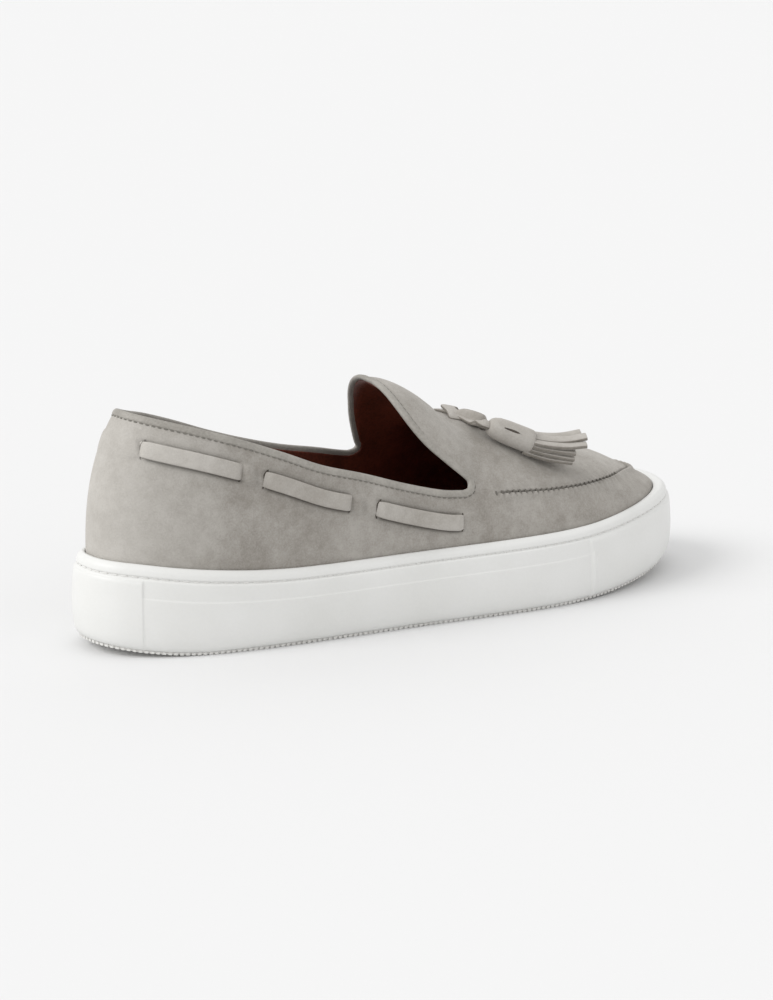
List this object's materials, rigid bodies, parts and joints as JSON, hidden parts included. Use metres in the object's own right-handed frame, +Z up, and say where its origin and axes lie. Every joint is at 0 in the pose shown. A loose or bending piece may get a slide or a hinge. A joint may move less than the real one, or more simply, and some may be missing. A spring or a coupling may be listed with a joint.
{
  "type": "tassel loafer",
  "caption": "Right-foot suede slip-on loafer with an apron seam, a laced collar and a pair of tassels on the vamp, on a tall white rubber cup sole",
  "frame": {"origin": "middle of the sole's footprint, on the floor", "axes": "+X from heel to toe, +Y to the wearer's left, which is the inner side of this right shoe, +Z up"},
  "size_m": [0.3012, 0.1068, 0.0996],
  "materials": {
    "tread_rubber": "matt off-white moulded rubber",
    "white_rubber": "satin white moulded rubber",
    "lining_leather": "smooth dark brown lining leather",
    "suede": "napped light grey suede",
    "piping_leather": "smooth grey leather",
    "lace_suede": "napped light grey suede lace"
  },
  "bodies": {
    "root": {"outsole": "tread_rubber", "cupsole": "white_rubber", "insole": "lining_leather", "upper": "suede", "collar_binding": "piping_leather", "lace_bar_lateral_1": "lace_suede", "lace_bar_lateral_2": "lace_suede", "lace_bar_lateral_3": "lace_suede", "lace_bar_medial_1": "lace_suede", "lace_bar_medial_2": "lace_suede", "lace_bar_medial_3": "lace_suede", "lace_knot": "lace_suede", "tassel_lateral": "lace_suede", "tassel_medial": "lace_suede"}
  },
  "joints": []
}
